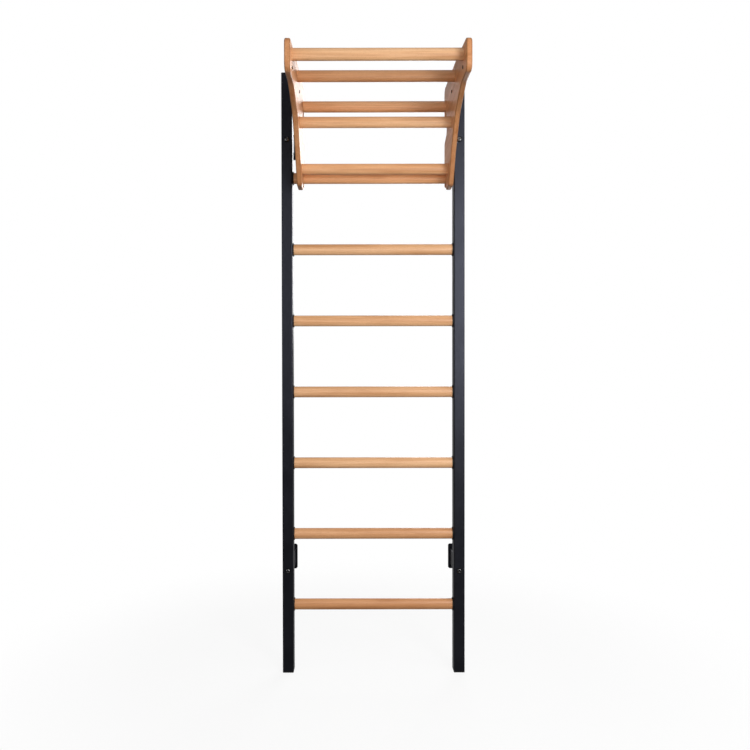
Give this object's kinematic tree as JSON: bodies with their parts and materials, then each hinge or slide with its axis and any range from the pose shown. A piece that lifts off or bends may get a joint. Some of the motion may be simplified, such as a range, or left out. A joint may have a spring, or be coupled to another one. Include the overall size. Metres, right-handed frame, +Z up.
{
  "type": "wall ladder with pull up bar",
  "caption": "Steel and beech wall ladder with a wooden pull up bar unit that hooks over its top rungs and lifts off.",
  "frame": {"origin": "on the wall plane, at the centre of the rectangle of wall screw holes in the four brackets", "axes": "+Z up along the uprights, +Y into the wall, so the user stands on the -Y side; +X to the right as seen by the user"},
  "size_m": [0.676, 0.638, 2.2],
  "materials": {
    "powder_coat": "satin black powder coat",
    "rung_wood": "clear satin lacquer on beech",
    "bar_wood": "clear satin lacquer on beech",
    "panel_wood": "clear satin lacquer on laminated beech",
    "black_plastic": "matt black moulded plastic",
    "black_fastener": "black oxide steel",
    "plain_steel": "zinc plated steel"
  },
  "bodies": {
    "wall_ladder": {"left_upright": "powder_coat", "right_upright": "powder_coat", "left_lower_bracket": "powder_coat", "left_upper_bracket": "powder_coat", "right_lower_bracket": "powder_coat", "right_upper_bracket": "powder_coat", "rung_1": "rung_wood", "rung_2": "rung_wood", "rung_3": "rung_wood", "rung_4": "rung_wood", "rung_5": "rung_wood", "rung_6": "rung_wood", "rung_7": "rung_wood", "rung_8": "rung_wood", "left_top_cap": "black_plastic", "right_top_cap": "black_plastic", "left_foot": "black_plastic", "right_foot": "black_plastic", "left_rung_collars": "black_plastic", "right_rung_collars": "black_plastic", "upright_bolts": "black_fastener", "upright_washers": "black_fastener", "left_rung_screws": "black_fastener", "right_rung_screws": "black_fastener", "upright_spacers": "plain_steel", "bracket_nuts": "plain_steel"},
    "pull_up_bar": {"left_side_panel": "panel_wood", "right_side_panel": "panel_wood", "front_bar": "bar_wood", "second_bar": "bar_wood", "third_bar": "bar_wood", "rear_bar": "bar_wood", "left_bar_screws": "plain_steel", "right_bar_screws": "plain_steel", "left_screw_covers": "panel_wood", "right_screw_covers": "panel_wood"}
  },
  "joints": [
    {"name": "bar_lift", "type": "slide", "parent": "wall_ladder", "child": "pull_up_bar", "axis": [0, 0, 1], "range_m": [0, 0.07]}
  ]
}
